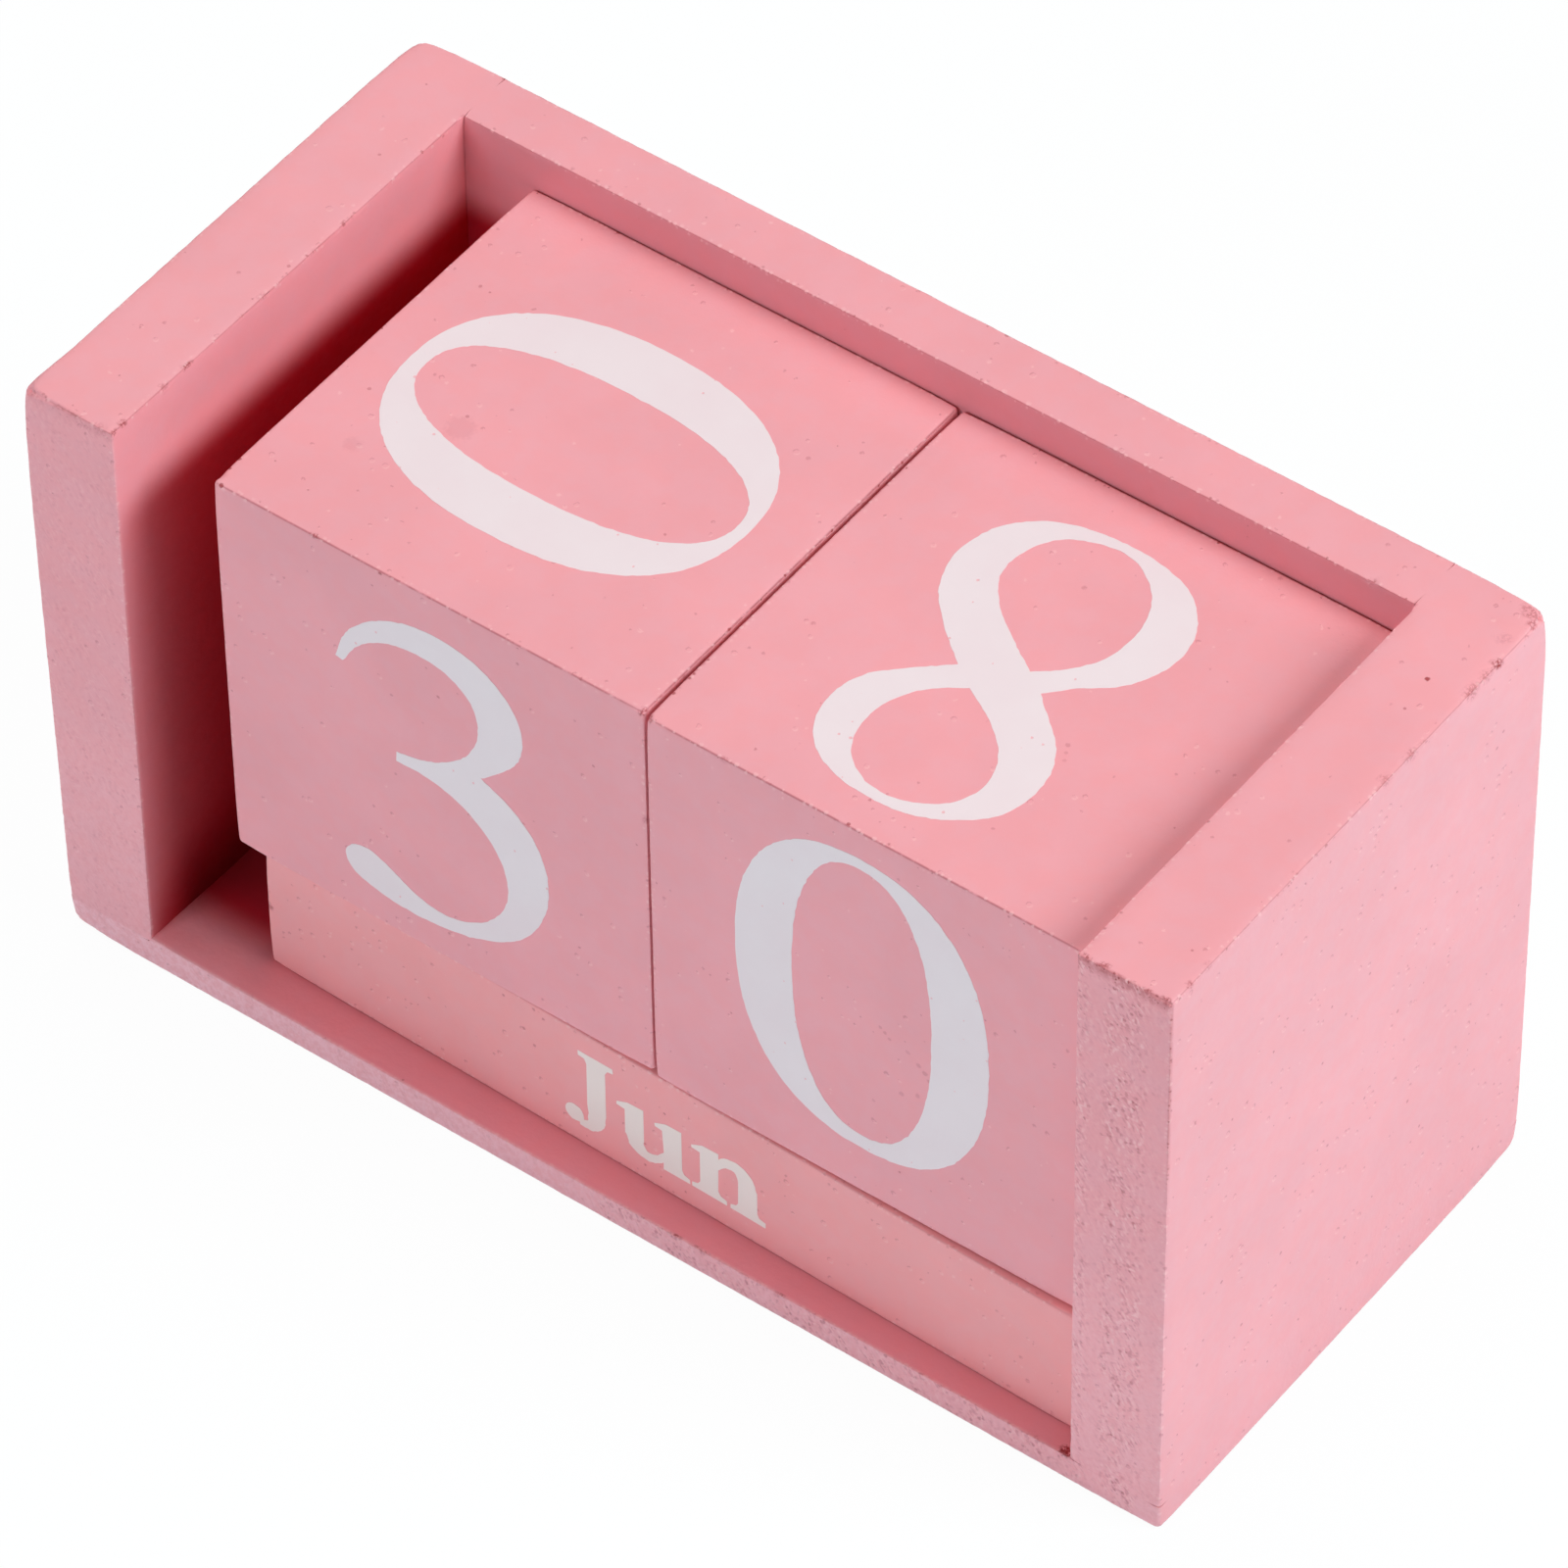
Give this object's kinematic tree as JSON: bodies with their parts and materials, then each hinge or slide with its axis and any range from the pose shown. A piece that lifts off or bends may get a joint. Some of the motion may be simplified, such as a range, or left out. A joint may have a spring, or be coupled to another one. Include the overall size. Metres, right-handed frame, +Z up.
{
  "type": "block calendar",
  "caption": "Open-fronted casing holding number blocks on top of sliding square month bars, for setting the date by hand.",
  "frame": {"origin": "middle of the casing's underside", "axes": "+X along the row of blocks to the right, -Y out of the open front, +Z up"},
  "size_m": [0.12, 0.055, 0.0673],
  "materials": {
    "casing_paint": "matte pink paint on board, rougher on the cut edges",
    "block_paint": "matte pink paint",
    "bar_paint": "matte pink paint",
    "number_paint": "thin flat off-white paint, slightly ragged at its edges"
  },
  "bodies": {
    "casing": {"base_board": "casing_paint", "left_wall": "casing_paint", "right_wall": "casing_paint", "back_board": "casing_paint"},
    "left_block": {"left_number_block": "block_paint"},
    "right_block": {"right_number_block": "block_paint"},
    "rear_bar": {"rear_month_bar": "bar_paint"},
    "middle_bar": {"middle_month_bar": "bar_paint"},
    "front_bar": {"front_month_bar": "bar_paint"}
  },
  "joints": [
    {"name": "left_block_lift", "type": "slide", "parent": "casing", "child": "left_block", "axis": [0, 0, 1], "range_m": [0, 0.06]},
    {"name": "right_block_lift", "type": "slide", "parent": "casing", "child": "right_block", "axis": [0, 0, 1], "range_m": [0, 0.06]},
    {"name": "rear_bar_pull", "type": "slide", "parent": "casing", "child": "rear_bar", "axis": [0, -1, 0], "range_m": [0, 0.055]},
    {"name": "middle_bar_pull", "type": "slide", "parent": "rear_bar", "child": "middle_bar", "axis": [0, -1, 0], "range_m": [0, 0.04]},
    {"name": "front_bar_pull", "type": "slide", "parent": "middle_bar", "child": "front_bar", "axis": [0, -1, 0], "range_m": [0, 0.025]}
  ]
}
